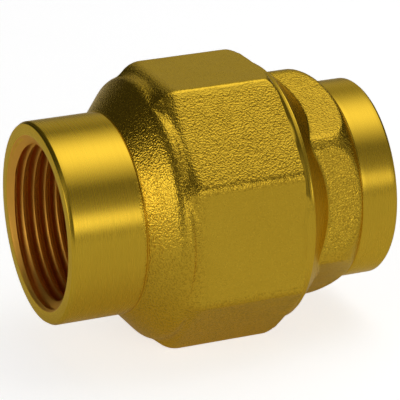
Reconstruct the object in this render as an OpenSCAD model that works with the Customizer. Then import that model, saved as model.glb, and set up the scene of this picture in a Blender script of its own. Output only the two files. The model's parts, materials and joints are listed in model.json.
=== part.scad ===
// Brass check valve with a spring-loaded poppet and a female pipe thread at each end.
// The flow axis is X and runs from the inlet collar at -X to the outlet collar at +X.
// The origin lies on the flow axis, half way between the two end faces, and +Z is up.
// The valve rests on the bottom flat of its octagonal body. All sizes are millimetres.

/* [Ends] */
// Outer diameter of the turned inlet collar
inlet_d = 39.2; // [38:0.1:42]
// Length of the inlet collar, up to the foot of the dome
inlet_l = 14.6; // [13:0.1:16]
// Outer diameter of the turned outlet collar
outlet_d = 38.8; // [37.5:0.1:39.8]
// Diameter of the threaded holes at the root of the thread
thread_d = 33.25; // [31:0.05:34]
// Depth of full thread in each end
thread_l = 14; // [10:0.5:16]
// Length of plain bore between the guide's ring and the outlet thread
outlet_bore_l = 9.3; // [7:0.1:14]
// Distance from the end of the hexagon's full corners to the outlet face
outlet_l = 13.3; // [12:0.1:15]
// Radial width of the chamfer on each collar's outer edge
collar_chamfer = 0.6; // [0.2:0.1:1]
// Width of the countersink at each thread's mouth
mouth_chamfer = 0.7; // [0.3:0.1:1]

/* [Body] */
// Height across the top and bottom flats
body_h = 52.9; // [51:0.1:56]
// Width across the front and back flats
body_w = 49.4; // [49:0.1:52]
// Width of the top and bottom flats, corner to corner
top_flat_w = 19.4; // [17:0.1:22]
// Height of the front and back flats, corner to corner
front_flat_h = 23.7; // [20:0.1:25]
// Radius of the long corners between the flats
body_corner_r = 1.5; // [1:0.1:5]
// Slope of the dome's straight part, in degrees from the flow axis
dome_angle = 48; // [42:0.5:50]
// Length along the axis of the dome's straight part
dome_cone_l = 3.5; // [2.4:0.1:3.6]
// Radius that turns the dome over towards the flats
dome_blend_r = 10; // [8:0.5:12]
// Length of the dome, from its foot to the crest of the raised bead
dome_l = 6.7; // [6.4:0.1:7.2]
// Distance of the bead's crest below the top flat
bead_drop = 0.7; // [0.3:0.05:1]
// Radius of the bead's round section
bead_r = 1.5; // [1:0.1:2]
// Length of the slope from the bead's crest down to the front flat
bead_slope_l = 3; // [2:0.1:4]
// Radius that rounds the corners' ends above the bead
crown_r = 5.5; // [4:0.1:6]
// Slope of the turned chamfer on the flats' outlet end, in degrees from the flow axis
end_chamfer_angle = 31.5; // [25:0.5:45]
// Height of the turned rim at the outlet end above the nearest flat
rim_rise = 0.65; // [0.3:0.05:1]
// Width of that rim where it stands above a flat
rim_l = 1.4; // [0.8:0.1:2]

/* [End connector] */
// Size of the hexagon across its flats
hex_af = 40.3; // [39.6:0.1:42]
// Radius of the hexagon's corners
hex_corner_r = 2; // [1:0.1:5]
// Turn of the hexagon about the flow axis, in degrees
hex_turn = 20; // [0:1:60]
// Shift of the forged hexagon from the turned axis, upwards
hex_rise = 0.3; // [0:0.1:0.6]
// Radial cut of the turning tool on the crests of the hexagon's corners
hex_trim = 0.5; // [0.2:0.1:0.8]
// Radius of the hexagon's rounded outlet end, seen from the side
hex_crown_r = 6.7; // [6:0.1:9]
// Distance of the connector's land below the rim of the body
land_drop = 0.25; // [0.1:0.05:0.5]
// Width of that land
land_l = 0.35; // [0.2:0.05:0.6]
// Slope of the turned shoulder, in degrees from the flow axis
shoulder_angle = 43.5; // [38:0.5:50]
// Wall between the nearest flat and the thread that joins body and connector
joint_wall = 3.2; // [2.4:0.1:4]
// Length of the spigot that reaches into the body
spigot_l = 10.4; // [9.5:0.1:12]
// Wall of the spigot around the guide
spigot_wall = 3.9; // [3:0.1:5]

/* [Seat and poppet] */
// Length of the straight port in front of the seat
port_l = 2.8; // [2:0.1:5]
// Overlap of the poppet's disc over the edge of the port
seat_overlap = 4; // [3.4:0.1:5]
// Height of the seat lip above the chamber's floor
seat_h = 1.6; // [1:0.1:2]
// Radial width of the seat lip
seat_w = 1.8; // [1.4:0.1:2.4]
// Gap for the water between the poppet's disc and the chamber's wall
water_gap = 4.1; // [3.5:0.1:6]
// Thickness of the rubber seal
seal_t = 2; // [1.5:0.1:2.5]
// Height by which the seal stands out of the disc
seal_proud = 0.5; // [0.3:0.1:0.8]
// Radial width of the rim that holds the seal
seal_rim = 0.9; // [0.6:0.1:1.2]
// Thickness of the disc behind the seal, at its middle
disc_t = 2.4; // [2:0.1:3]
// Diameter of the stem
stem_d = 6; // [5:0.1:7]
// Distance that the poppet opens
lift = 7; // [5:0.5:7]
// Distance of the washer's rim from the port's wall
washer_gap = 3.5; // [3:0.1:6]
// Thickness of that washer
washer_t = 1.2; // [0.8:0.1:1.5]
// Diameter of the threaded stud under the nut
stud_d = 5; // [4:0.5:6]
// Size of the nut across its flats
nut_af = 8; // [8:0.5:10]
// Thickness of the nut
nut_t = 3.2; // [2.5:0.1:3.5]

/* [Spring and guide] */
// Diameter of the spring's wire
wire_d = 1; // [0.7:0.05:1.1]
// Mean diameter of the spring's coils
coil_d = 11.4; // [11.2:0.1:12.4]
// Number of coils, with the two closed ends
coils = 5.5; // [4:0.5:5.5]
// Length of the closed spring space, from the disc to the guide
spring_l = 13.5; // [13:0.1:14]
// Length of the nose on the guide that stops the poppet
nose_l = 1; // [0.5:0.1:2]
// Depth of the guide's ring inside the spigot's end
ring_inset = 3.5; // [2:0.1:4]
// Radial width of the guide's ring
ring_w = 2.2; // [1.8:0.1:2.6]
// Thickness of the ring and the spokes along the axis
ring_t = 3.5; // [2.5:0.1:4]
// Length of the guide's hub
hub_l = 7.5; // [6:0.1:9]
// Diameter of the guide's hub
hub_d = 13.2; // [12.8:0.1:14]
// Width of each spoke
spoke_w = 2.6; // [1.5:0.1:4]
// Number of spokes
spokes = 3; // [2:1:6]
// Section of the ring seal between the body and the connector
seal_ring_d = 1.8; // [1.4:0.1:2]

/* [Fits] */
// Radial clearance of the stem in the guide
run_gap = 0.06; // [0.02:0.01:0.1]
// Gap between parts that are put together and stay still
fit_gap = 0.05; // [0.02:0.01:0.1]

/* [Hidden] */
$fn = 96;

// Pieces of round corners and arcs
arc_steps = 8;
corner_steps = 6;

// Reach of a cutting shape past the face that it opens
over = 1;

inlet_r = inlet_d / 2;
outlet_r = outlet_d / 2;
thread_r = thread_d / 2;
stem_r = stem_d / 2;
stud_r = stud_d / 2;

// Radii that follow from the nearest flat inwards: joint, chamber, disc and port
flat_r = min(body_h, body_w) / 2;
joint_r = flat_r - joint_wall;
chamber_r = joint_r - 0.9;
disc_r = chamber_r - water_gap;
seal_r = disc_r - seal_rim;
port_r = disc_r - seat_overlap;
washer_r = port_r - washer_gap;
boss_r = coil_d / 2 - wire_d / 2 - 0.6;

// Radii of the body's outside, and of a body corner's crest and a hexagon corner's crest
rim_r = flat_r + rim_rise;
core_r = flat_r - 0.3;
bead_top_r = body_h / 2 - bead_drop;
land_r = rim_r - land_drop;
body_reach = norm([top_flat_w / 2, body_h / 2]) - body_corner_r * (1 / cos(22.5) - 1);
hex_reach = (hex_af / 2 - hex_corner_r) / cos(30) + hex_corner_r - hex_trim;

// Places along the axis, counted from the inlet face
bead_x = inlet_l + dome_l;
crown_x = bead_x + 0.84 * crown_r;
thread_end_x = mouth_chamfer + thread_l;
seat_x = thread_end_x + thread_r - port_r + port_l;
floor_x = seat_x - seat_h;
disc_x = seat_x + seal_proud;
seal_back_x = seat_x + seal_t;
disc_back_x = seal_back_x + disc_t;
hub_x = disc_back_x + spring_l;
nose_x = hub_x - nose_l;
boss_x = nose_x - lift;
ring_end_x = hub_x + ring_t;
stem_x = hub_x + hub_l + 1.5;
stud_x = seat_x - washer_t - nut_t - 0.8;
spigot_x = hub_x - ring_inset;
body_l = spigot_x + spigot_l;
outlet_thread_x = ring_end_x + outlet_bore_l;
total_l = outlet_thread_x + thread_l + mouth_chamfer;
hex_crown_x = total_l - outlet_l;

// Seats of the ring seal: its groove on the spigot and its room in the body
ring_seat_l = seal_ring_d + 0.6;
groove_r = joint_r - 1.4;
ring_room_r = groove_r + seal_ring_d + 2 * fit_gap;

// Inner radii of the connector, and the guide's ring that fits in it
guide_room_r = joint_r - spigot_wall;
ring_r = guide_room_r - fit_gap;
outlet_bore_r = ring_r - ring_w - 0.15;

function unit(v) = v / norm(v);

// Points of an arc in the x, radius plane, by its centre, radius and two angles
function arc(centre, r, from, to, n = arc_steps) =
    [for (i = [0:n]) centre + r * [cos(from + (to - from) * i / n), sin(from + (to - from) * i / n)]];

// Points that round the corner b of an outline that runs a, b, c anticlockwise
function round_corner(a, b, c, r) =
    let (u = unit(a - b), v = unit(c - b), half = acos(u * v) / 2)
    let (centre = b + unit(u + v) * r / sin(half), start = b + u * r / tan(half) - centre)
    let (from = atan2(start.y, start.x))
    arc(centre, r, from, from + 180 - 2 * half, corner_steps);

function round_outline(corners, r) =
    let (n = len(corners))
    [for (i = [0:n - 1]) each round_corner(corners[(i + n - 1) % n], corners[i], corners[(i + 1) % n], r)];

// Solid turned about the flow axis from points given as [distance from the inlet face, radius]
module turned(points) {
    translate([-total_l / 2, 0, 0])
        rotate([0, 90, 0])
            rotate_extrude()
                polygon([for (p = points) [p.y, p.x]]);
}

// Prism along the flow axis from an outline in the [y, z] plane
module prism(outline, from, to) {
    translate([from - total_l / 2, 0, 0])
        rotate([90, 0, 90])
            linear_extrude(to - from)
                polygon(outline);
}

octagon = let (w = body_w / 2, h = body_h / 2, t = top_flat_w / 2, f = front_flat_h / 2)
    [[w, -f], [w, f], [t, h], [-t, h], [-w, f], [-w, -f], [-t, -h], [t, -h]];

// Outline of the dome: a straight cone, then an arc that flattens towards the bead
dome_foot = [inlet_l, inlet_r];
dome_knee = dome_foot + dome_cone_l * [1, tan(dome_angle)];
dome_centre = dome_knee + dome_blend_r * [sin(dome_angle), -cos(dome_angle)];
dome_arc = [for (p = arc(dome_centre, dome_blend_r, 90 + dome_angle, 110)) if (p.x < bead_x - bead_r) p];

module forged_core() {
    turned(concat(
        [[0, 0], [0, inlet_r - collar_chamfer], [1.6 * collar_chamfer, inlet_r], dome_foot],
        dome_arc,
        arc([bead_x, bead_top_r - bead_r], bead_r, 143, 60),
        [[bead_x + bead_slope_l, core_r], [body_l - rim_l - over, core_r], [body_l - rim_l, rim_r],
            [body_l, rim_r], [body_l, 0]]));
}

module forged_octagon() {
    intersection() {
        prism(round_outline(octagon, body_corner_r), bead_x - over, body_l);
        turned(concat(
            [[bead_x - over, 0]],
            arc([crown_x, body_reach - crown_r], crown_r, 153, 90),
            [[body_l - land_l - (body_reach - rim_r) / tan(end_chamfer_angle), body_reach],
                [body_l - land_l, rim_r], [body_l, rim_r], [body_l, 0]]));
    }
}

module body_bore() {
    turned([
        [-over, 0], [-over, thread_r + mouth_chamfer + over],
        [mouth_chamfer, thread_r], [thread_end_x, thread_r],
        [thread_end_x + thread_r - port_r, port_r],
        [seat_x - 0.4, port_r], [seat_x, port_r + 0.4],
        [seat_x, port_r + seat_w - 0.4], [seat_x - 0.4, port_r + seat_w],
        [floor_x, port_r + seat_w], [floor_x, chamber_r - over], [floor_x + over, chamber_r],
        [spigot_x - 1.5, chamber_r], [spigot_x - 0.6, joint_r],
        [body_l - ring_seat_l, joint_r], [body_l - ring_seat_l, ring_room_r],
        [body_l + over, ring_room_r], [body_l + over, 0]]);
}

module body() {
    color("goldenrod")
        difference() {
            union() {
                forged_core();
                forged_octagon();
            }
            body_bore();
        }
}

hexagon = [for (i = [0:5]) hex_af / 2 / cos(30) * [cos(60 * i - 60 + hex_turn), sin(60 * i - 60 + hex_turn)]];

// Shoulder: from the land it drops a little, then falls as a cone under the hexagon
shoulder_top = [body_l + land_l + 0.7, land_r - 0.7];
shoulder_foot = shoulder_top + (shoulder_top.y - outlet_r) * [1 / tan(shoulder_angle), -1];

module turned_connector() {
    turned([
        [spigot_x, 0], [spigot_x, joint_r - 0.9], [spigot_x + 0.9, joint_r - fit_gap],
        [body_l - ring_seat_l, joint_r - fit_gap], [body_l - ring_seat_l, groove_r],
        [body_l, groove_r], [body_l, land_r], [body_l + land_l, land_r],
        shoulder_top, shoulder_foot,
        [total_l - collar_chamfer, outlet_r],
        [total_l, outlet_r - collar_chamfer], [total_l, 0]]);
}

module forged_hexagon() {
    hex_end_r = outlet_r - 1;
    crown_centre = [hex_crown_x, hex_reach - hex_crown_r];
    end_angle = asin((hex_end_r - crown_centre.y) / hex_crown_r);
    translate([0, 0, hex_rise])
        intersection() {
            prism(round_outline(hexagon, hex_corner_r), shoulder_top.x, total_l);
            turned(concat(
                [[shoulder_top.x, 0], [shoulder_top.x, hex_reach]],
                arc(crown_centre, hex_crown_r, 90, end_angle),
                [[crown_centre.x + hex_crown_r * cos(end_angle), 0]]));
        }
}

module connector_bore() {
    turned([
        [spigot_x - over, 0], [spigot_x - over, guide_room_r],
        [ring_end_x, guide_room_r], [ring_end_x, outlet_bore_r],
        [outlet_thread_x - thread_r + outlet_bore_r, outlet_bore_r], [outlet_thread_x, thread_r],
        [total_l - mouth_chamfer, thread_r],
        [total_l + over, thread_r + mouth_chamfer + over], [total_l + over, 0]]);
}

module end_connector() {
    color("darkgoldenrod")
        difference() {
            union() {
                turned_connector();
                forged_hexagon();
            }
            connector_bore();
        }
}

module seal_ring() {
    color("dimgray")
        translate([body_l - ring_seat_l / 2 - total_l / 2, 0, 0])
            rotate([0, 90, 0])
                rotate_extrude()
                    translate([groove_r + fit_gap + seal_ring_d / 2, 0])
                        circle(d = seal_ring_d);
}

module poppet() {
    color("khaki")
        turned([
            [stud_x, 0], [stud_x, stud_r - 0.5], [stud_x + 0.5, stud_r - fit_gap],
            [seal_back_x, stud_r - fit_gap], [seal_back_x, seal_r + fit_gap],
            [disc_x, seal_r + fit_gap], [disc_x, disc_r - 0.3], [disc_x + 0.3, disc_r],
            [disc_back_x - 1.4, disc_r], [disc_back_x, hub_d / 2 + 1.5],
            [disc_back_x, boss_r], [boss_x, boss_r], [boss_x, stem_r],
            [stem_x - 0.8, stem_r], [stem_x, stem_r - 0.8], [stem_x, 0]]);
}

module seat_seal() {
    color("black")
        turned([
            [seat_x, stud_r], [seat_x, seal_r],
            [seal_back_x, seal_r], [seal_back_x, stud_r]]);
}

module seal_washer() {
    color("silver")
        turned([
            [seat_x - washer_t, stud_r], [seat_x - washer_t, washer_r - 0.3],
            [seat_x - washer_t + 0.3, washer_r], [seat_x, washer_r], [seat_x, stud_r]]);
}

module seal_nut() {
    nut_end_x = seat_x - washer_t;
    nut_reach = nut_af / 2 / cos(30);
    color("gold")
        difference() {
            intersection() {
                prism([for (i = [0:5]) nut_reach * [cos(60 * i), sin(60 * i)]], nut_end_x - nut_t, nut_end_x);
                turned([
                    [nut_end_x - nut_t, 0], [nut_end_x - nut_t, nut_af / 2],
                    [nut_end_x - nut_t + 0.5, nut_reach + 0.2], [nut_end_x, nut_reach + 0.2],
                    [nut_end_x, 0]]);
            }
            turned([
                [nut_end_x - nut_t - over, 0], [nut_end_x - nut_t - over, stud_r],
                [nut_end_x + over, stud_r], [nut_end_x + over, 0]]);
        }
}

// Spring wire: its centre line is a helix with a closed coil at each end
wire_sides = 8;
rings_per_coil = 24;
wire_r = wire_d / 2;
wire_room = spring_l - wire_d - 2 * fit_gap;
closed_rise = wire_d * 1.05;

function spring_rise(t) =
    t < 1 ? closed_rise * t
    : t > coils - 1 ? wire_room - closed_rise * (coils - t)
    : closed_rise + (wire_room - 2 * closed_rise) * (t - 1) / (coils - 2);

function wire_ring(t) =
    let (x = disc_back_x - total_l / 2 + fit_gap + wire_r + spring_rise(t))
    [for (k = [0:wire_sides - 1])
        let (a = 360 * k / wire_sides, r = coil_d / 2 + wire_r * cos(a))
        [x + wire_r * sin(a), r * cos(360 * t), r * sin(360 * t)]];

module spring() {
    n = round(coils * rings_per_coil);
    s = wire_sides;
    points = [for (i = [0:n]) each wire_ring(coils * i / n)];
    sides = [for (i = [0:n - 1], k = [0:s - 1])
        [i * s + k, i * s + (k + 1) % s, (i + 1) * s + (k + 1) % s, (i + 1) * s + k]];
    first_cap = [[for (k = [s - 1:-1:0]) k]];
    last_cap = [[for (k = [0:s - 1]) n * s + k]];
    color("lightgray")
        polyhedron(points, concat(sides, first_cap, last_cap));
}

module guide() {
    spoke_r = (ring_r - ring_w / 2 + hub_d / 2) / 2;
    spoke_l = ring_r - ring_w / 2 - hub_d / 2 + ring_w;
    color("peru")
        difference() {
            union() {
                turned([
                    [hub_x, ring_r - ring_w], [hub_x, ring_r - 0.3], [hub_x + 0.3, ring_r],
                    [ring_end_x, ring_r], [ring_end_x, ring_r - ring_w]]);
                turned([
                    [nose_x, 0], [nose_x, boss_r], [hub_x, boss_r], [hub_x, hub_d / 2],
                    [hub_x + hub_l - 0.8, hub_d / 2], [hub_x + hub_l, hub_d / 2 - 0.8],
                    [hub_x + hub_l, 0]]);
                for (i = [0:spokes - 1])
                    rotate([360 * i / spokes, 0, 0])
                        translate([hub_x + ring_t / 2 + 0.25 - total_l / 2, 0, spoke_r])
                            cube([ring_t - 0.5, spoke_w, spoke_l], center = true);
            }
            turned([
                [nose_x - over, 0], [nose_x - over, stem_r + run_gap],
                [hub_x + hub_l + over, stem_r + run_gap], [hub_x + hub_l + over, 0]]);
        }
}

body();
end_connector();
seal_ring();
poppet();
seat_seal();
seal_washer();
seal_nut();
spring();
guide();
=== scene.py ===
# %% [markdown]
# # A brass check valve
# The valve lets water through one way only. A forged and turned body carries the inlet, a second
# piece with a hexagon closes it at the outlet, and a sprung poppet sits between the two.
# The solids of the construction are loaded first. They fix every place and size, and the
# cells below dress them: finer skins for the two brass pieces, the pipe threads, the spring's
# round wire, the finishes, and a plain studio.

# %% Load the frame
import json
import math

import bmesh
import bpy
from mathutils import Matrix, Vector, noise as ripple

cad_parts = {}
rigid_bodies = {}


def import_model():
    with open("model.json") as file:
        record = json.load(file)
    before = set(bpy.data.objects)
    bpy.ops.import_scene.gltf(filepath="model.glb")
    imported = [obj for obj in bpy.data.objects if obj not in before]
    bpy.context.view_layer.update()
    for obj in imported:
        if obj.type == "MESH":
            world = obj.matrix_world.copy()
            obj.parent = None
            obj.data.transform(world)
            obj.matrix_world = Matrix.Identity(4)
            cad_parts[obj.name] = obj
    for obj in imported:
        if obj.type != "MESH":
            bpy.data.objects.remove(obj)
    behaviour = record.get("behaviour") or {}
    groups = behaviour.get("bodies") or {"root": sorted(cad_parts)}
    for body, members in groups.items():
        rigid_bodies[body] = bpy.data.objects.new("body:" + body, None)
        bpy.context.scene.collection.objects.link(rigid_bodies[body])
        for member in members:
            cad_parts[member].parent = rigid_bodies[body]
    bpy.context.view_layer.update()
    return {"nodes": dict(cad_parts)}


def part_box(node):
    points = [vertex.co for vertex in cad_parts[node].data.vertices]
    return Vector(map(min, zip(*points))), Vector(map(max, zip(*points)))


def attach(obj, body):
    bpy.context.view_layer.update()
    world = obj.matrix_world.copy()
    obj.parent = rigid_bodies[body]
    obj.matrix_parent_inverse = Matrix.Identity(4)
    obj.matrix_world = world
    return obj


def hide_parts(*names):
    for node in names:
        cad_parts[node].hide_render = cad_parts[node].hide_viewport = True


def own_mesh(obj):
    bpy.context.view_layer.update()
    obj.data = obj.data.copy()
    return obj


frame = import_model()
print("solids loaded:", sorted(frame["nodes"]))

# %% [markdown]
# ## Places that the whole script shares
# Shapes are worked out in millimetres, because a turner reads a valve in millimetres, and each
# mesh is brought to metres once, at its end. Places along the flow axis are counted from the
# inlet face, as on a drawing, and the boxes of the solids say where those places are.

# %% Driving sizes
MM = 0.001
FULL_TURN = 2 * math.pi
GUIDE_NOSE_L = 1.0
GUIDE_RING_L = 3.5


def box_mm(node):
    low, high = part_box(node)
    return low / MM, high / MM


body_low, body_high = box_mm("body")
connector_low, connector_high = box_mm("end_connector")
guide_low = box_mm("guide")[0]
seal_low = box_mm("seat_seal")[0]
spring_low, spring_high = box_mm("spring")

inlet_x = body_low.x
total_l = connector_high.x - inlet_x
body_l = body_high.x - inlet_x
spigot_x = connector_low.x - inlet_x
seat_x = seal_low.x - inlet_x
guide_end_x = guide_low.x + GUIDE_NOSE_L + GUIDE_RING_L - inlet_x

TOP_FLAT = body_high.z
FRONT_FLAT = 24.7
DIAGONAL_FLAT = 25.72
INLET_R = 19.6
OUTLET_R = 19.4
COLLAR_CHAMFER = 0.42
INLET_CHAMFER_L = 1.6 * COLLAR_CHAMFER
OUTLET_CHAMFER_L = 1.2 * COLLAR_CHAMFER
THREAD_R = 16.625
THREAD_L = 14.7
MOUTH_R = 17.1
MOUTH_SLOPE = math.tan(math.radians(60))
MOUTH_L = (MOUTH_R - THREAD_R) / MOUTH_SLOPE
print(f"valve {total_l:.1f} mm long, seam at {body_l:.1f} mm, seat at {seat_x:.1f} mm")

# %% [markdown]
# ## A lathe
# Both brass pieces start on a lathe in the works, so they start on one here. A few vertices
# draw half a section. The bevel operator eases its sharp corners, as a turner breaks an edge,
# long stretches are divided so that they can be shaped later, and the spin operator turns the
# section round the flow axis.

# %% Lathe helper
EASE = 0.09
EASED_FROM = math.radians(24)
LATHE_STEPS = 360
SAME_PLACE = 1e-4


def arc(centre, radius, start, end, pieces):
    """Points (x, r) along an arc; start and end are degrees from the flow axis."""
    angles = [math.radians(start + (end - start) * i / pieces) for i in range(pieces + 1)]
    return [(centre[0] + radius * math.cos(a), centre[1] + radius * math.sin(a)) for a in angles]


def turns_sharply(vert):
    one, other = [edge.other_vert(vert).co - vert.co for edge in vert.link_edges]
    return math.pi - one.angle(other) > EASED_FROM


def divide_long_edges(bm, spacing):
    """spacing(x, r) says how long an edge may be at a place of the section."""
    for edge in list(bm.edges):
        middle = (edge.verts[0].co + edge.verts[1].co) / 2
        cuts = int(edge.calc_length() / spacing(middle.x, middle.z))
        if cuts > 0:
            bmesh.ops.subdivide_edges(bm, edges=[edge], cuts=cuts)


def lathe(section, spacing):
    """Turns a closed section, a list of (x, r), round the flow axis."""
    bm = bmesh.new()
    verts = [bm.verts.new((x, 0, r)) for x, r in section]
    for start, end in zip(verts, verts[1:] + verts[:1]):
        bm.edges.new((start, end))
    corners = [vert for vert in verts if turns_sharply(vert)]
    bmesh.ops.bevel(bm, geom=corners, offset=EASE, offset_type="OFFSET", segments=3,
                    profile=0.5, affect="VERTICES", material=-1)
    divide_long_edges(bm, spacing)
    bmesh.ops.spin(bm, geom=bm.verts[:] + bm.edges[:], cent=(0, 0, 0), axis=(1, 0, 0),
                   dvec=(0, 0, 0), angle=FULL_TURN, steps=LATHE_STEPS, use_merge=True,
                   use_duplicate=False)
    bmesh.ops.remove_doubles(bm, verts=bm.verts[:], dist=SAME_PLACE)
    bmesh.ops.recalc_face_normals(bm, faces=bm.faces[:])
    return bm


# %% [markdown]
# ## Forging flats
# A forging die presses flats into the round blank. Here each vertex of the lathe work keeps its
# place along the axis, and only its distance from the axis changes. A soft minimum of the flats
# gives the long corners their rounding. The vertices are first crowded towards those corners,
# because a flat needs few of them and a corner needs many.

# %% Press helpers
CROWDING = 0.75
FACING = 0.5


def soft_max(a, b, width):
    """The larger of two values, with a rounded changeover where they differ by less than width."""
    overlap = max(width - abs(a - b), 0) / width
    return max(a, b) + overlap * overlap * width / 4


def soft_min(a, b, width):
    return -soft_max(-a, -b, width)


def polar(vert):
    """Distance from the axis, and angle from straight up towards the front."""
    return math.hypot(vert.co.y, vert.co.z), math.atan2(-vert.co.y, vert.co.z)


def set_polar(vert, radius, angle):
    vert.co.y = -radius * math.sin(angle)
    vert.co.z = radius * math.cos(angle)


def side(angle_deg, distance):
    """A flat: the direction that it faces, and its distance from the axis."""
    return math.radians(angle_deg), distance


def flats_radius(angle, flats, corner_width):
    """Distance from the axis to the nearest flat at an angle, softened where two flats meet."""
    reach = [distance / math.cos(angle - facing) for facing, distance in flats
             if math.cos(angle - facing) > FACING]
    reach.sort()
    return soft_min(reach[0], reach[1], corner_width)


def corner_angle(flat, next_flat):
    """The angle at which two neighbouring flats meet."""
    facing, distance = flat
    next_facing, next_distance = next_flat
    return math.atan2(next_distance * math.cos(facing) - distance * math.cos(next_facing),
                      distance * math.sin(next_facing) - next_distance * math.sin(facing))


def crowd_towards_corners(bm, flats):
    """Slides the vertices round the axis, from the middles of the flats to their corners."""
    corners = sorted(corner_angle(a, b) % FULL_TURN for a, b in zip(flats, flats[1:] + flats[:1]))
    corners.append(corners[0] + FULL_TURN)
    for vert in bm.verts:
        radius, angle = polar(vert)
        angle = (angle - corners[0]) % FULL_TURN + corners[0]
        i = max(i for i, corner in enumerate(corners[:-1]) if corner <= angle)
        gap = corners[i + 1] - corners[i]
        part = (angle - corners[i]) / gap
        part -= CROWDING * math.sin(FULL_TURN * part) / FULL_TURN
        set_polar(vert, radius, corners[i] + gap * part)


DIAGONAL_TURN = 44.2
OCTAGON = [side(0, TOP_FLAT), side(DIAGONAL_TURN, DIAGONAL_FLAT),
           side(90, FRONT_FLAT), side(180 - DIAGONAL_TURN, DIAGONAL_FLAT),
           side(180, TOP_FLAT), side(180 + DIAGONAL_TURN, DIAGONAL_FLAT),
           side(270, FRONT_FLAT), side(360 - DIAGONAL_TURN, DIAGONAL_FLAT)]
TOP_CORNER = 0.36
FRONT_CORNER = 0.85
TOP_CORNER_REACH = math.radians(42)

# %% [markdown]
# ## The body
# One piece of brass: a turned inlet collar, a blasted dome, a raised bead, and an octagon whose
# flats roll down at the bead and stop short of a turned slope at the other end. The section below
# follows the outside, comes back through the chamber, the raised seat and the port, and ends in
# the threaded inlet. The press then gives the octagon, and leaves the bead standing round it.

# %% Outline of the body
INLET_L = 14.6
GROOVE = 0.12
DOME_ANGLE = 48
BEAD_X = INLET_L + 6.7
BEAD_TOP = TOP_FLAT - 0.78
BEAD_FRONT_R = 2.8
BEAD_BACK_R = 1.2
BEAD_BACK_ANGLE = 55
BEAD_FALL = 1 / math.tan(math.radians(BEAD_BACK_ANGLE))
VALLEY = 1.15
CORNER_REACH = 28.1
CORNER_ROUND = 2.6
ROUND_ALONG = 0.8
ROUND_DOWN = 0.4
FLATS_SHORT = 1.72
STEEP_L = 0.25
RIM_R = FRONT_FLAT + 0.65
RIM_L = 1.4
RIM_LINE = 0.35
RIM_FALL = 0.4
PORT_R = 12.5
SEAT_H = 1.6
SEAT_W = 1.8
SEAT_EDGE = 0.4
CHAMBER_R = 20.6
CHAMBER_EDGE = 1.0
JOINT_R = 21.5
JOINT_SPARE = 0.6
RING_ROOM_R = 22.0
RING_ROOM_L = 2.4

dome_slope = math.tan(math.radians(DOME_ANGLE))
bead_end_x = BEAD_X + BEAD_BACK_R * math.cos(math.radians(BEAD_BACK_ANGLE))
bead_end_r = BEAD_TOP - BEAD_BACK_R * (1 - math.sin(math.radians(BEAD_BACK_ANGLE)))
flats_end = body_l - FLATS_SHORT
slope_start = flats_end + STEEP_L
round_start = flats_end - ROUND_ALONG * CORNER_ROUND
corner_end_r = CORNER_REACH - ROUND_DOWN * CORNER_ROUND
slope_start_r = RIM_R + RIM_FALL * (body_l - RIM_LINE - slope_start)
body_outside = (
    [(0, INLET_R - COLLAR_CHAMFER), (INLET_CHAMFER_L, INLET_R), (INLET_L - 2 * GROOVE, INLET_R),
     (INLET_L - GROOVE, INLET_R - GROOVE), (INLET_L, INLET_R - GROOVE),
     (INLET_L + GROOVE, INLET_R + GROOVE * dome_slope)]
    + arc((BEAD_X, BEAD_TOP - BEAD_FRONT_R), BEAD_FRONT_R, 90 + DOME_ANGLE, 90, 12)
    + arc((BEAD_X, BEAD_TOP - BEAD_BACK_R), BEAD_BACK_R, 88, BEAD_BACK_ANGLE, 5)
    + [(round_start, CORNER_REACH), (flats_end, corner_end_r), (slope_start, slope_start_r),
       (body_l - RIM_LINE, RIM_R), (body_l, RIM_R)])
floor_x = seat_x - SEAT_H
joint_end_x = spigot_x - JOINT_SPARE
body_inside = [
    (body_l, RING_ROOM_R), (body_l - RING_ROOM_L, RING_ROOM_R), (body_l - RING_ROOM_L, JOINT_R),
    (joint_end_x, JOINT_R), (joint_end_x - (JOINT_R - CHAMBER_R), CHAMBER_R),
    (floor_x + CHAMBER_EDGE, CHAMBER_R), (floor_x, CHAMBER_R - CHAMBER_EDGE),
    (floor_x, PORT_R + SEAT_W), (seat_x - SEAT_EDGE, PORT_R + SEAT_W),
    (seat_x, PORT_R + SEAT_W - SEAT_EDGE), (seat_x, PORT_R + SEAT_EDGE),
    (seat_x - SEAT_EDGE, PORT_R), (THREAD_L + THREAD_R - PORT_R, PORT_R),
    (THREAD_L, THREAD_R), (MOUTH_L, THREAD_R), (0, MOUTH_R)]


# %% [markdown]
# The outside is divided finely where the press works hardest, at the bead, and coarsely in the
# bores. A flat drops towards the bead in an arc, and a high corner takes a longer arc than the
# low middle of a flat. At the seam a limit that depends only on the place along the axis ends
# the flats.

# %% Press the body
BORE_SPACING = 4.0
COLLAR_SPACING = 0.8
SKIN_SPACING = 0.4
BEAD_SPACING = 0.24
ROLL_R = 1.8
ROLL_GROWTH = 1.1
ROLL_OVERLAP = 0.72
FLAT_LAG = 0.9
CORNER_HEIGHT = 3.35
WAVE_R = 22
WAVE_SCALE = 0.35
CORNER_WAVE = 0.5
FLAT_WAVE = 0.03
END_BLEND = 0.1


def body_spacing(x, radius):
    in_inlet = radius < INLET_R - COLLAR_CHAMFER - 0.2
    in_chamber = radius < RING_ROOM_R + 0.1 and x > seat_x
    if in_inlet or in_chamber:
        return BORE_SPACING
    if BEAD_X - 2 < x < BEAD_X + 6:
        return BEAD_SPACING
    return SKIN_SPACING if x > INLET_L else COLLAR_SPACING


def bead_radius(vert):
    """The turned radius up to the bead, then a slope that runs down under the flats."""
    ahead = vert.co.x - bead_end_x
    return polar(vert)[0] if ahead < 0 else bead_end_r - BEAD_FALL * ahead


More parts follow.
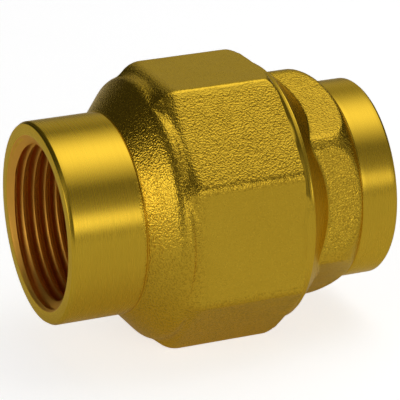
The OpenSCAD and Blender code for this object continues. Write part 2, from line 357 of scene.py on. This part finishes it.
def roll_over(x, reach):
    """Drop of a flat towards the bead at its end; a high corner rolls over a longer way."""
    height = max(reach - FRONT_FLAT, 0)
    roll_r = ROLL_R + ROLL_GROWTH * height
    start = BEAD_X + ROLL_OVERLAP * roll_r + FLAT_LAG * max(1 - height / CORNER_HEIGHT, 0)
    short = min(max(start - x, 0), roll_r)
    return roll_r - math.sqrt(roll_r**2 - short**2)


def end_limit(x):
    """The flats stop short of the seam: rounded corners, a steep end, and a turned slope."""
    if x > slope_start:
        return RIM_R + RIM_FALL * max(body_l - RIM_LINE - x, 0)
    if x > flats_end:
        share = (x - flats_end) / (slope_start - flats_end)
        return corner_end_r + (slope_start_r - corner_end_r) * share
    past = max(x - round_start, 0)
    return CORNER_REACH - CORNER_ROUND + math.sqrt(CORNER_ROUND**2 - past**2)


def rim_radius(x):
    """The thin turned rim at the seam stands a little above the flats."""
    return RIM_R - max(body_l - RIM_L - x, 0)


def unevenness(x, angle, depth):
    """Low waves of a few millimetres, as a blow of the forging die leaves them."""
    place = Vector((x, WAVE_R * math.cos(angle), WAVE_R * math.sin(angle)))
    return depth * ripple.noise(place * WAVE_SCALE)


def press_body(vert):
    x = vert.co.x
    angle = polar(vert)[1]
    near_top = abs(math.sin(angle)) < math.sin(TOP_CORNER_REACH)
    corner = TOP_CORNER if near_top else FRONT_CORNER
    corner *= 1 + unevenness(x, angle, CORNER_WAVE)
    flat = flats_radius(angle, OCTAGON, corner) - FLAT_WAVE + unevenness(x, angle, FLAT_WAVE)
    pressed = soft_min(flat - roll_over(x, flat), end_limit(x), END_BLEND)
    set_polar(vert, max(soft_max(bead_radius(vert), pressed, VALLEY), rim_radius(x)), angle)


FRONT_LAG = 0.45
LAG_REACH = 4.0


def lag_at_front(vert):
    """The lathe cut deeper into the front of the forging, so the dome starts later there."""
    share = max(1 - abs(vert.co.x - INLET_L) / LAG_REACH, 0)
    vert.co.x += FRONT_LAG * share * max(math.sin(polar(vert)[1]), 0)


body_mesh = lathe(body_outside + body_inside, body_spacing)
crowd_towards_corners(body_mesh, OCTAGON)
for vert in body_mesh.verts:
    radius = polar(vert)[0]
    if radius > RING_ROOM_R + 0.5 and BEAD_X - 1 < vert.co.x < body_l - EASE - 0.01:
        press_body(vert)
    elif radius > INLET_R - COLLAR_CHAMFER and vert.co.x < BEAD_X:
        lag_at_front(vert)
print("body:", len(body_mesh.verts), "vertices")

# %% [markdown]
# ## Which skin is forged, turned or bored
# The blasted forging, the turned faces and the threaded bores are one metal with different
# finishes. Every vertex remembers which one it belongs to in two attributes, and the brass
# material reads them, so the border between grain and lathe marks follows the real edges. In the
# bores the material also paints a redder colour, a painted reflection of the brass round them.

# %% Finish a mesh and give it its attributes
SHARP = math.radians(34)
SMOOTHER = 0.45


def finish_piece(bm, name, forged, bored):
    for edge in bm.edges:
        if len(edge.link_faces) == 2 and edge.calc_face_angle(0) > SHARP:
            edge.smooth = False
    for face in bm.faces:
        face.smooth = True
    bm.verts.index_update()
    shares = {"forged": [forged(v) for v in bm.verts], "bored": [bored(v) for v in bm.verts]}
    bmesh.ops.translate(bm, verts=bm.verts[:], vec=(inlet_x, 0, 0))
    bmesh.ops.scale(bm, verts=bm.verts[:], vec=(MM, MM, MM))
    mesh = bpy.data.meshes.new(name)
    bm.to_mesh(mesh)
    bm.free()
    for attribute, values in shares.items():
        mesh.attributes.new(attribute, "FLOAT", "POINT").data.foreach_set("value", values)
    piece = bpy.data.objects.new(name, mesh)
    bpy.context.scene.collection.objects.link(piece)
    return piece


def in_thread(vert):
    return 1.0 if polar(vert)[0] < MOUTH_R - 0.05 else 0.0


def body_is_forged(vert):
    x = vert.co.x
    radius, angle = polar(vert)
    if x < INLET_L or radius < (INLET_R if x < seat_x - 2 else RING_ROOM_R + 0.5):
        return 0.0
    if x > flats_end + 0.03:
        return 0.0
    past_bead = min(max((x - BEAD_X - 2) / 2, 0), 1)
    on_plain_flat = abs(math.sin(2 * angle)) < math.sin(math.radians(46))
    return 1.0 - (1.0 - SMOOTHER) * past_bead if on_plain_flat else 1.0


# %% [markdown]
# ## Pipe threads
# The thread in each end is a ridge that winds along the bore, one turn for each 2.309 mm. The
# spin operator makes it from one small section if it also moves the section along the axis at
# each step. Where the ridge meets the countersink at the mouth it is pushed into the wall,
# which is what the countersinking tool does to the first turn of a real thread.

# %% Wind the threads
PITCH = 2.309
THREAD_STEPS = 96
RIDGE_AHEAD = 1.2
LEAST_DEPTH = 0.05
HIDDEN = 0.04
RIDGE = [(-1.1, 0.25), (-1.0, -0.12), (-0.4, -1.26), (-0.24, -1.45), (0.24, -1.45), (0.4, -1.26),
         (1.0, -0.12), (1.1, 0.25)]


def wind_thread(mouth_x, inwards, turns, start_angle):
    """A ridge from just outside the mouth; inwards is 1 or -1, the way that it winds."""
    bm = bmesh.new()
    start_x = mouth_x - RIDGE_AHEAD * inwards
    verts = [bm.verts.new((start_x + x, 0, THREAD_R + r)) for x, r in RIDGE]
    section = bm.faces.new(verts)
    bmesh.ops.rotate(bm, verts=verts, cent=(0, 0, 0), matrix=Matrix.Rotation(start_angle, 3, "X"))
    bmesh.ops.spin(bm, geom=[section], cent=(0, 0, 0), axis=(1, 0, 0),
                   dvec=(PITCH / THREAD_STEPS * inwards, 0, 0), angle=FULL_TURN * turns,
                   steps=int(turns * THREAD_STEPS), use_merge=False, use_duplicate=False)
    for vert in bm.verts:
        depth = max((vert.co.x - mouth_x) * inwards, LEAST_DEPTH)
        vert.co.x = mouth_x + depth * inwards
        radius, angle = polar(vert)
        set_polar(vert, max(radius, MOUTH_R + HIDDEN - depth * MOUTH_SLOPE), angle)
    bmesh.ops.recalc_face_normals(bm, faces=bm.faces[:])
    return bm


def join(bm, other):
    """Puts the other mesh into the first one."""
    spare = bpy.data.meshes.new("spare")
    other.to_mesh(spare)
    other.free()
    bm.from_mesh(spare)
    bpy.data.meshes.remove(spare)


join(body_mesh, wind_thread(0, 1, 7.2, math.radians(340)))
valve_body = finish_piece(body_mesh, "valve_body", body_is_forged, in_thread)
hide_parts("body")
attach(valve_body, "housing")
print("body with thread:", len(valve_body.data.polygons), "faces")

# %% [markdown]
# ## The end connector
# The second brass piece screws into the body. Next to the seam it has a narrow land that catches
# the light, then a turned shoulder that runs down to a forged hexagon, and a turned collar. The
# hexagon sits a little high on the turned axis, as forgings often do.

# %% Outline and press of the connector
LAND_R = RIM_R - 0.25
LAND_L = 0.35
SHOULDER = math.tan(math.radians(43.5))
HEX_FLAT = 20.15
HEX_TURN = 20
HEX_RISE = 0.3
HEX_CORNER = 0.9
HEX_REACH = 22.56
HEX_CROWN_R = 6.7
HEX_CROWN_X = total_l - 13.3
HEX_END_X = HEX_CROWN_X + 5.75
HEX_CUT = 0.4
HEX_WAVE = 0.05
HEX_SPACING = 0.28
SHOULDER_BLEND = 0.3
LAND_DROP = 0.7
GUIDE_ROOM_R = 17.6
SPIGOT_LIP = 0.1
SPIGOT_EDGE = 0.9
SPIGOT_GROOVE_R = 20.1
FIT = 0.05
SEAM_GAP = 0.01
OUTLET_BORE_R = 15.2

hexagon_turns = [HEX_TURN + 60 * i for i in range(6)]
HEXAGON = [side(turn, HEX_FLAT + HEX_RISE * math.cos(math.radians(turn))) for turn in hexagon_turns]
shoulder_top = (body_l + LAND_L + LAND_DROP, LAND_R - LAND_DROP)
shoulder_end = (shoulder_top[0] + (shoulder_top[1] - OUTLET_R) / SHOULDER, OUTLET_R)
connector_outside = [
    (spigot_x, GUIDE_ROOM_R + SPIGOT_LIP), (spigot_x, JOINT_R - SPIGOT_EDGE),
    (spigot_x + SPIGOT_EDGE, JOINT_R - FIT), (body_l - RING_ROOM_L, JOINT_R - FIT),
    (body_l - RING_ROOM_L, SPIGOT_GROOVE_R), (body_l + SEAM_GAP, SPIGOT_GROOVE_R),
    (body_l + SEAM_GAP, LAND_R), (body_l + LAND_L, LAND_R), shoulder_top, shoulder_end,
    (HEX_END_X, OUTLET_R), (HEX_END_X + GROOVE, OUTLET_R - GROOVE),
    (HEX_END_X + 2 * GROOVE, OUTLET_R), (total_l - OUTLET_CHAMFER_L, OUTLET_R),
    (total_l, OUTLET_R - COLLAR_CHAMFER)]
connector_inside = [
    (total_l, MOUTH_R), (total_l - MOUTH_L, THREAD_R), (total_l - THREAD_L, THREAD_R),
    (total_l - THREAD_L - THREAD_R + OUTLET_BORE_R, OUTLET_BORE_R), (guide_end_x, OUTLET_BORE_R),
    (guide_end_x, GUIDE_ROOM_R), (spigot_x, GUIDE_ROOM_R)]


def shoulder_radius(x):
    return max(shoulder_top[1] - (x - shoulder_top[0]) * SHOULDER, OUTLET_R)


def press_connector(vert):
    x = vert.co.x
    angle = polar(vert)[1]
    flat = flats_radius(angle, HEXAGON, HEX_CORNER) + unevenness(x, angle, HEX_WAVE)
    past = min(max(x - HEX_CROWN_X, 0), HEX_CROWN_R)
    crown = HEX_REACH - HEX_CROWN_R + math.sqrt(HEX_CROWN_R**2 - past**2)
    hexagon = soft_min(flat, crown + HEX_RISE * math.cos(angle), HEX_CUT)
    set_polar(vert, soft_max(shoulder_radius(x), hexagon, SHOULDER_BLEND), angle)


def connector_spacing(x, radius):
    if radius < OUTLET_R - COLLAR_CHAMFER - 0.2 or x < body_l:
        return BORE_SPACING
    return HEX_SPACING if x < HEX_END_X else COLLAR_SPACING


connector_mesh = lathe(connector_outside + connector_inside, connector_spacing)
crowd_towards_corners(connector_mesh, HEXAGON)
for vert in connector_mesh.verts:
    if shoulder_top[0] + 0.3 < vert.co.x < HEX_END_X - 0.01 and polar(vert)[0] > OUTLET_R - 0.3:
        press_connector(vert)


def connector_is_forged(vert):
    x = vert.co.x
    above_shoulder = polar(vert)[0] > shoulder_radius(x) + 0.08
    return 1.0 if above_shoulder and shoulder_top[0] < x < HEX_END_X else 0.0


join(connector_mesh, wind_thread(total_l, -1, 6.9, math.radians(40)))
valve_connector = finish_piece(connector_mesh, "valve_end_connector", connector_is_forged, in_thread)
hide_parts("end_connector")
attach(valve_connector, "housing")
print("connector:", len(valve_connector.data.polygons), "faces")

# %% [markdown]
# ## The spring
# Round wire, wound with one closed coil at each end. The section is a small circle that the spin
# operator carries round the axis, and its step along the axis changes where the coils open.

# %% Wind the spring
WIRE_D = 1.0
COIL_R = 5.7
COILS = 5.5
CLOSED_PITCH = 1.05 * WIRE_D
SPRING_STEPS = 48
WIRE_SIDES = 12

spring_mesh = bmesh.new()
room = (spring_high.x - spring_low.x) - WIRE_D
closed_step = CLOSED_PITCH / SPRING_STEPS
open_step = (room - 2 * CLOSED_PITCH) / ((COILS - 2) * SPRING_STEPS)
circle = bmesh.ops.create_circle(spring_mesh, cap_ends=True, segments=WIRE_SIDES, radius=WIRE_D / 2)
wire = circle["verts"]
upright = Matrix.Rotation(math.pi / 2, 3, "X")
bmesh.ops.rotate(spring_mesh, verts=wire, cent=(0, 0, 0), matrix=upright)
wire_start = (spring_low.x + WIRE_D / 2 - inlet_x, 0, COIL_R)
bmesh.ops.translate(spring_mesh, verts=wire, vec=wire_start)
last = spring_mesh.faces[:]
for turns, step in ((1, closed_step), (COILS - 2, open_step), (1, closed_step)):
    count = int(turns * SPRING_STEPS)
    spun = bmesh.ops.spin(spring_mesh, geom=last, cent=(0, 0, 0), axis=(1, 0, 0),
                          dvec=(step, 0, 0), angle=FULL_TURN * turns, steps=count,
                          use_merge=False, use_duplicate=False)
    last = [f for f in spun["geom_last"] if isinstance(f, bmesh.types.BMFace)]
bmesh.ops.recalc_face_normals(spring_mesh, faces=spring_mesh.faces[:])


def nowhere(vert):
    return 0.0


valve_spring = finish_piece(spring_mesh, "closing_spring", nowhere, nowhere)
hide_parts("spring")
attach(valve_spring, "housing")
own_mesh(valve_spring)
print(f"spring: {COILS} coils in {room + WIRE_D:.1f} mm")

# %% [markdown]
# ## Brass
# Clean yellow brass with three finishes. The forged skin has a fine blasted grain, whose pits are
# painted darker and redder, a painted shade, and a slight waviness. The turned faces are bright,
# with rings that the tool left round the axis. The bores are rougher, and their colour is painted
# redder, a painted reflection of the brass round them. All are made from noise on the piece's own
# coordinates, so they stay put from any side. The grain and the rings are only some hundredths
# of a millimetre deep, too fine to be modelled.

# %% Material helpers
def new_material(name):
    material = bpy.data.materials.new(name)
    material.use_nodes = True
    return material, material.node_tree


def add(tree, kind, **values):
    node = tree.nodes.new(kind)
    for key, value in values.items():
        if key in node.inputs:
            node.inputs[key].default_value = value
        else:
            setattr(node, key, value)
    return node


def feed(tree, socket, value):
    if isinstance(value, bpy.types.NodeSocket):
        tree.links.new(value, socket)
    else:
        socket.default_value = value


def mix_values(tree, share, low, high):
    node = add(tree, "ShaderNodeMix", data_type="FLOAT")
    for socket, value in zip((node.inputs[0], node.inputs[2], node.inputs[3]), (share, low, high)):
        feed(tree, socket, value)
    return node.outputs[0]


def mix_colours(tree, share, low, high):
    node = add(tree, "ShaderNodeMix", data_type="RGBA")
    feed(tree, node.inputs[0], share)
    for socket, value in ((node.inputs[6], low), (node.inputs[7], high)):
        feed(tree, socket, (*value, 1) if isinstance(value, tuple) else value)
    return node.outputs[2]


def calculate(tree, operation, first, second):
    node = add(tree, "ShaderNodeMath", operation=operation)
    feed(tree, node.inputs[0], first)
    feed(tree, node.inputs[1], second)
    return node.outputs[0]


def ring_coordinates(tree):
    """Distance along the axis and distance from it, for marks that run round the axis."""
    coordinates = add(tree, "ShaderNodeTexCoord")
    split = add(tree, "ShaderNodeSeparateXYZ")
    tree.links.new(coordinates.outputs["Object"], split.inputs[0])
    across = add(tree, "ShaderNodeCombineXYZ")
    tree.links.new(split.outputs["Y"], across.inputs["Y"])
    tree.links.new(split.outputs["Z"], across.inputs["Z"])
    length = add(tree, "ShaderNodeVectorMath", operation="LENGTH")
    tree.links.new(across.outputs[0], length.inputs[0])
    rings = add(tree, "ShaderNodeCombineXYZ")
    tree.links.new(split.outputs["X"], rings.inputs["X"])
    tree.links.new(length.outputs["Value"], rings.inputs["Y"])
    return coordinates.outputs["Object"], rings.outputs[0]


def noise(tree, vector, scale, detail=2.0, roughness=0.5):
    node = add(tree, "ShaderNodeTexNoise", Scale=scale, Detail=detail, Roughness=roughness)
    tree.links.new(vector, node.inputs["Vector"])
    return node.outputs["Fac"]


def bump(tree, height, strength, distance, normal=None):
    node = add(tree, "ShaderNodeBump", Distance=distance)
    feed(tree, node.inputs["Strength"], strength)
    feed(tree, node.inputs["Height"], height)
    if normal is not None:
        tree.links.new(normal, node.inputs["Normal"])
    return node.outputs[0]


# %% Forged, turned and bored brass
BRASS = (0.79, 0.51, 0.039)
BRASS_DULL = (0.71, 0.445, 0.031)
# painted shade: the darker, redder colour painted into the pits of the blasted grain
BRASS_PAINTED_PIT_SHADE = (0.42, 0.22, 0.012)
BRASS_EDGE = (0.94, 0.87, 0.56, 1)
# painted reflection: the redder colour painted inside the bores, as brass lit by the brass round it
BORE_PAINTED_BOUNCE = (0.8, 0.4, 0.06)
GRAIN_SCALE = 2900
GRAIN_DEPTH = 0.00013
# how strongly the painted shade darkens the pits
PIT_SHADE_SHARE = 0.45
WAVINESS_SCALE = 300
WAVINESS_DEPTH = 0.0001
TOOL_SCALE = 3000
TOOL_DEPTH = 0.00001
STAIN_SCALE = 95
BORED_ROUGHNESS = 0.42


def brass_material(name):
    material, tree = new_material(name)
    shader = tree.nodes["Principled BSDF"]
    shader.inputs["Metallic"].default_value = 1
    shader.inputs["Specular Tint"].default_value = BRASS_EDGE
    forged = add(tree, "ShaderNodeAttribute", attribute_name="forged").outputs["Fac"]
    bored = add(tree, "ShaderNodeAttribute", attribute_name="bored").outputs["Fac"]
    place, rings = ring_coordinates(tree)
    grain = noise(tree, place, GRAIN_SCALE, 1.0, 0.5)
    waviness = noise(tree, place, WAVINESS_SCALE, 1.0)
    tool_marks = noise(tree, rings, TOOL_SCALE, 3.0, 0.6)
    stain = noise(tree, place, STAIN_SCALE, 3.0, 0.6)

    # painted shade: the pits of the grain are painted darker and redder than the forged skin's colour
    pit_shade_mask = add(tree, "ShaderNodeMapRange", **{"From Min": 0.38, "From Max": 0.52,
                                                   "To Min": 1.0, "To Max": 0.0})
    tree.links.new(grain, pit_shade_mask.inputs["Value"])
    deepest_pit_shade = calculate(tree, "MULTIPLY", calculate(tree, "MULTIPLY", forged, forged), PIT_SHADE_SHARE)
    pit_shade = calculate(tree, "MULTIPLY", pit_shade_mask.outputs["Result"], deepest_pit_shade)
    skin = mix_colours(tree, stain, BRASS, BRASS_DULL)
    skin_with_pit_shade = mix_colours(tree, pit_shade, skin, BRASS_PAINTED_PIT_SHADE)
    # the bores get their rougher finish below and a painted reflection here, a redder colour
    colour = mix_colours(tree, bored, skin_with_pit_shade, BORE_PAINTED_BOUNCE)
    tree.links.new(colour, shader.inputs["Base Color"])

    blasted_roughness = mix_values(tree, grain, 0.18, 0.32)
    turned_roughness = mix_values(tree, tool_marks, 0.22, 0.32)
    outer_roughness = mix_values(tree, forged, turned_roughness, blasted_roughness)
    roughness = mix_values(tree, bored, outer_roughness, BORED_ROUGHNESS)
    tree.links.new(roughness, shader.inputs["Roughness"])

    tool_strength = mix_values(tree, forged, 0.11, 0.0)
    wave_strength = mix_values(tree, forged, 0.0, 0.45)
    turned_normal = bump(tree, tool_marks, tool_strength, TOOL_DEPTH)
    wavy_normal = bump(tree, waviness, wave_strength, WAVINESS_DEPTH, turned_normal)
    grain_normal = bump(tree, grain, forged, GRAIN_DEPTH, wavy_normal)
    tree.links.new(grain_normal, shader.inputs["Normal"])
    return material


def dress(piece, material):
    piece.data.materials.clear()
    piece.data.materials.append(material)


dress(valve_body, brass_material("forged_brass"))
dress(valve_connector, brass_material("connector_brass"))

# %% [markdown]
# ## The small parts inside
# The poppet, the nut and the guide are brass too, the washer and the spring are steel, and the
# seals are black rubber. Their solids are right as they are, so they only get finishes.

# %% Finishes of the small parts
RUBBER = (0.018, 0.018, 0.018)
RUBBER_WORN = (0.035, 0.034, 0.033)


def plain_metal(name, colour, roughness):
    material, tree = new_material(name)
    shader = tree.nodes["Principled BSDF"]
    shader.inputs["Metallic"].default_value = 1
    place, rings = ring_coordinates(tree)
    worn = noise(tree, place, 400, 3.0)
    marks = noise(tree, rings, 4200, 3.0, 0.6)
    darker = tuple(channel * 0.75 for channel in colour)
    tree.links.new(mix_colours(tree, worn, colour, darker), shader.inputs["Base Color"])
    tree.links.new(mix_values(tree, worn, roughness, roughness + 0.12), shader.inputs["Roughness"])
    tree.links.new(bump(tree, marks, 0.3, 0.00001), shader.inputs["Normal"])
    return material


def rubber(name):
    material, tree = new_material(name)
    shader = tree.nodes["Principled BSDF"]
    place, rings = ring_coordinates(tree)
    speckle = noise(tree, place, 1500, 3.0)
    tree.links.new(mix_colours(tree, speckle, RUBBER, RUBBER_WORN), shader.inputs["Base Color"])
    tree.links.new(mix_values(tree, speckle, 0.5, 0.7), shader.inputs["Roughness"])
    tree.links.new(bump(tree, speckle, 0.4, 0.00002), shader.inputs["Normal"])
    return material


nodes = frame["nodes"]
dress(nodes["poppet"], plain_metal("turned_brass", (0.78, 0.5, 0.08), 0.2))
dress(nodes["seal_nut"], plain_metal("nut_brass", (0.8, 0.53, 0.12), 0.22))
dress(nodes["guide"], plain_metal("guide_brass", (0.68, 0.42, 0.06), 0.34))
dress(nodes["seal_washer"], plain_metal("washer_steel", (0.58, 0.58, 0.57), 0.28))
dress(valve_spring, plain_metal("spring_steel", (0.55, 0.55, 0.55), 0.25))
dress(nodes["seat_seal"], rubber("seal_rubber"))
dress(nodes["seal_ring"], rubber("ring_rubber"))

# %% [markdown]
# ## Camera
# The valve is seen from the inlet's side, a little from above, with a long lens. The camera's
# turn and distance come from the ellipses of the two collars and the seam.

# %% Camera
VIEW_AZIMUTH = math.radians(-23.06)
VIEW_ELEVATION = math.radians(21.46)
VIEW_DISTANCE = 0.548
AIM_RIGHT = 0.03107
AIM_UP = 0.00453
LENS = 259.6

level_share = math.cos(VIEW_ELEVATION)
back = Vector((math.sin(VIEW_AZIMUTH) * level_share, -math.cos(VIEW_AZIMUTH) * level_share,
               math.sin(VIEW_ELEVATION)))
right = Vector((math.cos(VIEW_AZIMUTH), math.sin(VIEW_AZIMUTH), 0))
up = back.cross(right)
camera_data = bpy.data.cameras.new("camera")
camera_data.lens = LENS
camera_data.sensor_width = 36
camera_data.clip_end = 20
camera = bpy.data.objects.new("camera", camera_data)
bpy.context.scene.collection.objects.link(camera)
turn = Matrix((right, up, back)).transposed().to_4x4()
start = Vector((inlet_x * MM, 0, 0))
place = start + right * AIM_RIGHT + up * AIM_UP + back * VIEW_DISTANCE
camera.matrix_world = Matrix.Translation(place) @ turn
bpy.context.scene.camera = camera
print(f"camera: {VIEW_DISTANCE} m away, {LENS} mm lens")

# %% [markdown]
# ## Studio
# Brass shows what stands round it, so the lamps are broad soft boxes, bright in the middle and
# dim at the rim, and they draw the soft bands on the turned collars. The three strong ones hang
# overhead, stand low along the front and stand on the left. Four dim ones fill the gaps, so that
# no band goes black. Each is a sheet that glows by an attribute, so that its edges can be soft.

# %% Lamps
LAMP_CELLS = 24


def soft_box(name, centre, width, height, level, rim):
    """A glowing sheet that faces the valve; rim is its brightness at the edges."""
    bm = bmesh.new()
    bmesh.ops.create_grid(bm, x_segments=LAMP_CELLS, y_segments=LAMP_CELLS, size=1)
    quarter = math.pi / 2
    middle = [math.cos(v.co.x * quarter) * math.cos(v.co.y * quarter) for v in bm.verts]
    glow = [level * (rim + (1 - rim) * share**2) for share in middle]
    facing = (-Vector(centre)).to_track_quat("-Z", "Y").to_matrix()
    bmesh.ops.scale(bm, verts=bm.verts[:], vec=(width / 2, height / 2, 1))
    bmesh.ops.rotate(bm, verts=bm.verts[:], cent=(0, 0, 0), matrix=facing)
    bmesh.ops.translate(bm, verts=bm.verts[:], vec=centre)
    mesh = bpy.data.meshes.new(name)
    bm.to_mesh(mesh)
    bm.free()
    mesh.attributes.new("glow", "FLOAT", "POINT").data.foreach_set("value", glow)
    sheet = bpy.data.objects.new(name, mesh)
    bpy.context.scene.collection.objects.link(sheet)
    sheet.visible_camera = False
    material, tree = new_material(name)
    tree.nodes.remove(tree.nodes["Principled BSDF"])
    emission = add(tree, "ShaderNodeEmission")
    strength = add(tree, "ShaderNodeAttribute", attribute_name="glow").outputs["Fac"]
    tree.links.new(strength, emission.inputs["Strength"])
    tree.links.new(emission.outputs[0], tree.nodes["Material Output"].inputs["Surface"])
    mesh.materials.append(material)


soft_box("lamp_overhead", (0.22, 0.05, 0.62), 0.92, 0.74, 1.66, 0.22)
soft_box("lamp_front", (0.1, -0.73, 0.2), 1.2, 0.29, 2.0, 0.3)
soft_box("lamp_front_fill", (0.25, -0.62, 0.42), 1.3, 0.5, 0.26, 0.5)
soft_box("lamp_left", (-0.66, -0.1, 0.15), 0.5, 0.42, 3.2, 0.2)
soft_box("lamp_high_left", (-0.52, -0.3, 0.58), 0.5, 0.42, 0.4, 0.3)
soft_box("lamp_behind", (0.34, 0.7, 0.3), 0.66, 0.55, 0.45, 0.6)
soft_box("lamp_right", (0.72, -0.12, 0.14), 0.4, 0.3, 0.5, 0.4)

# %% [markdown]
# ## Room and floor
# The camera sees white all round, and brass sees a dim room, as it does in a photographer's
# tent. The floor is pale and glows a little, so that it is white but keeps the valve's shadow.

# %% World and floor
ROOM_LEVEL = 0.03
ROOM_IN_METAL = 0.01
FLOOR_IN_METAL = 0.2
FLOOR_Z = body_low.z * MM
FLOOR_REACH = 3
FLOOR_COLOUR = (0.86, 0.86, 0.86, 1)
FLOOR_GLOW = 0.7
WHITE = (1, 1, 1, 1)


def background_share(tree, in_metal):
    """1 for the camera, and a small share in metal, where the photograph shows a dim room."""
    path = add(tree, "ShaderNodeLightPath")
    mirrored = calculate(tree, "ADD", path.outputs["Is Glossy Ray"], path.outputs["Is Transmission Ray"])
    dimmed = calculate(tree, "MULTIPLY", mirrored, in_metal)
    return calculate(tree, "MAXIMUM", path.outputs["Is Camera Ray"], dimmed)


world = bpy.data.worlds.new("studio")
bpy.context.scene.world = world
world.use_nodes = True
sky = world.node_tree
sky_level = mix_values(sky, background_share(sky, ROOM_IN_METAL), ROOM_LEVEL, 1.0)
sky.nodes["Background"].inputs["Color"].default_value = WHITE
sky.links.new(sky_level, sky.nodes["Background"].inputs["Strength"])

floor_mesh = bmesh.new()
bmesh.ops.create_grid(floor_mesh, x_segments=1, y_segments=1, size=FLOOR_REACH)
bmesh.ops.translate(floor_mesh, verts=floor_mesh.verts[:], vec=(0, 0, FLOOR_Z))
floor_data = bpy.data.meshes.new("floor")
floor_mesh.to_mesh(floor_data)
floor_mesh.free()
floor = bpy.data.objects.new("floor", floor_data)
bpy.context.scene.collection.objects.link(floor)

floor_material, floor_tree = new_material("pale_floor")
floor_shader = floor_tree.nodes["Principled BSDF"]
floor_shader.inputs["Base Color"].default_value = FLOOR_COLOUR
floor_shader.inputs["Roughness"].default_value = 0.9
floor_shader.inputs["Emission Color"].default_value = WHITE
floor_glow = mix_values(floor_tree, background_share(floor_tree, FLOOR_IN_METAL), 0.0, FLOOR_GLOW)
floor_tree.links.new(floor_glow, floor_shader.inputs["Emission Strength"])
floor.data.materials.append(floor_material)

print("studio: lamps, room and floor are in place")

# %% [markdown]
# ## Finish
# The render shows the colours through the Standard view, without a film curve.

# %% Finish
bpy.context.scene.view_settings.view_transform = "Standard"
